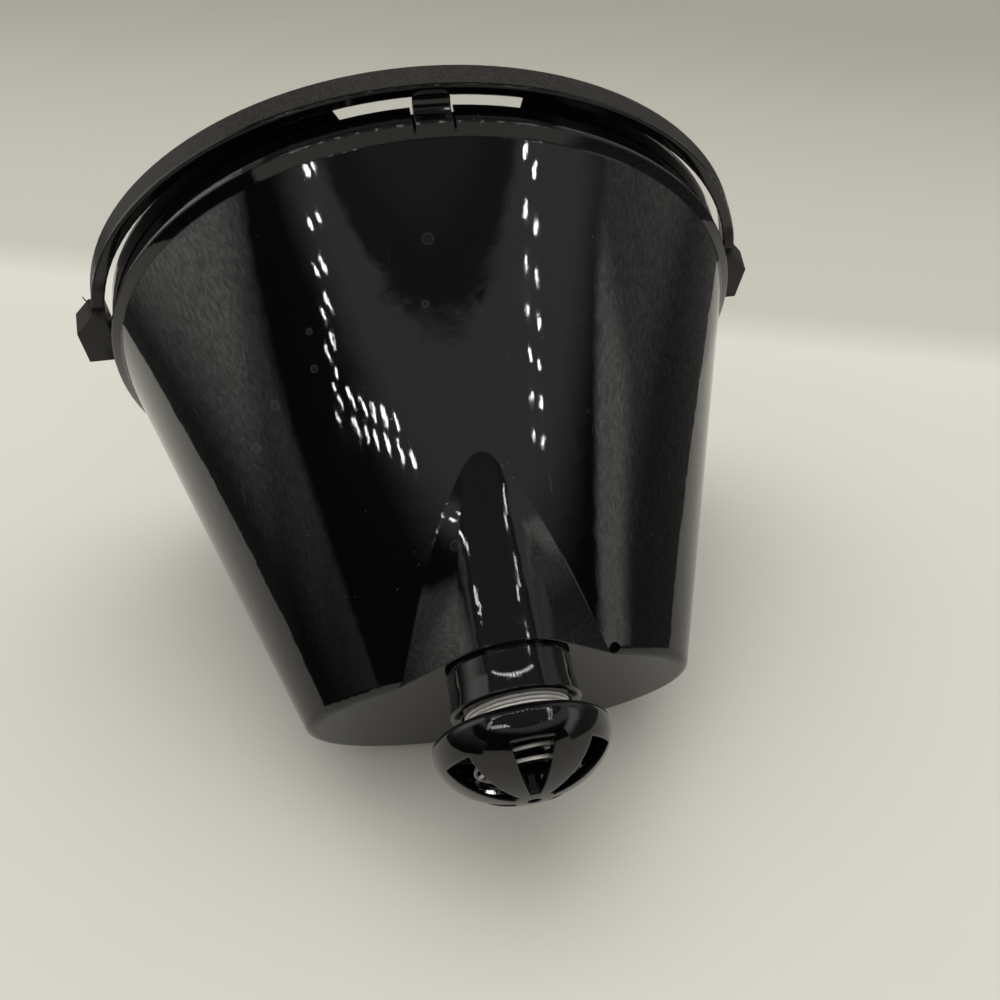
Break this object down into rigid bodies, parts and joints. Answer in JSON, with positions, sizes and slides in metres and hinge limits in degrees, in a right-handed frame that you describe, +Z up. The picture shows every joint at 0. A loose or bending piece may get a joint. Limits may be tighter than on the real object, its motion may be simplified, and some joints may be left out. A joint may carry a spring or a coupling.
{
  "type": "coffee maker brew basket",
  "caption": "Tapered black plastic filter basket for a drip coffee maker, with a round rim, a swinging bail handle and a spring-loaded drip-stop valve under the outlet.",
  "frame": {"origin": "middle of the overall box, on the table that the basket's back wall lies on", "axes": "+X along the bail pivots, +Y away from the outlet towards the mouth, +Z up; the basket's own axis slopes up by about 28 degrees towards +Y"},
  "size_m": [0.1502, 0.1512, 0.1279],
  "materials": {
    "gloss_black": "glossy",
    "satin_black": "satin",
    "valve_black": "glossy",
    "silicone": "matte",
    "spring_steel": "bright"
  },
  "bodies": {
    "basket": {"basket": "gloss_black"},
    "handle": {"bail_handle": "satin_black"},
    "valve": {"valve_cap": "valve_black", "valve_stem": "valve_black", "valve_seal": "silicone", "valve_spring": "spring_steel"}
  },
  "joints": [
    {"name": "bail_swing", "type": "hinge", "parent": "basket", "child": "handle", "pos_m": [0, 0.04579, 0.06525], "axis": [-1, 0, 0], "range_deg": [0, 100]},
    {"name": "drip_stop", "type": "slide", "parent": "basket", "child": "valve", "axis": [0, 0.8858, 0.4641], "range_m": [0, 0.0024], "stiffness_N_per_m": 150, "springref_m": -0.002, "deforming": ["valve_spring"]}
  ]
}
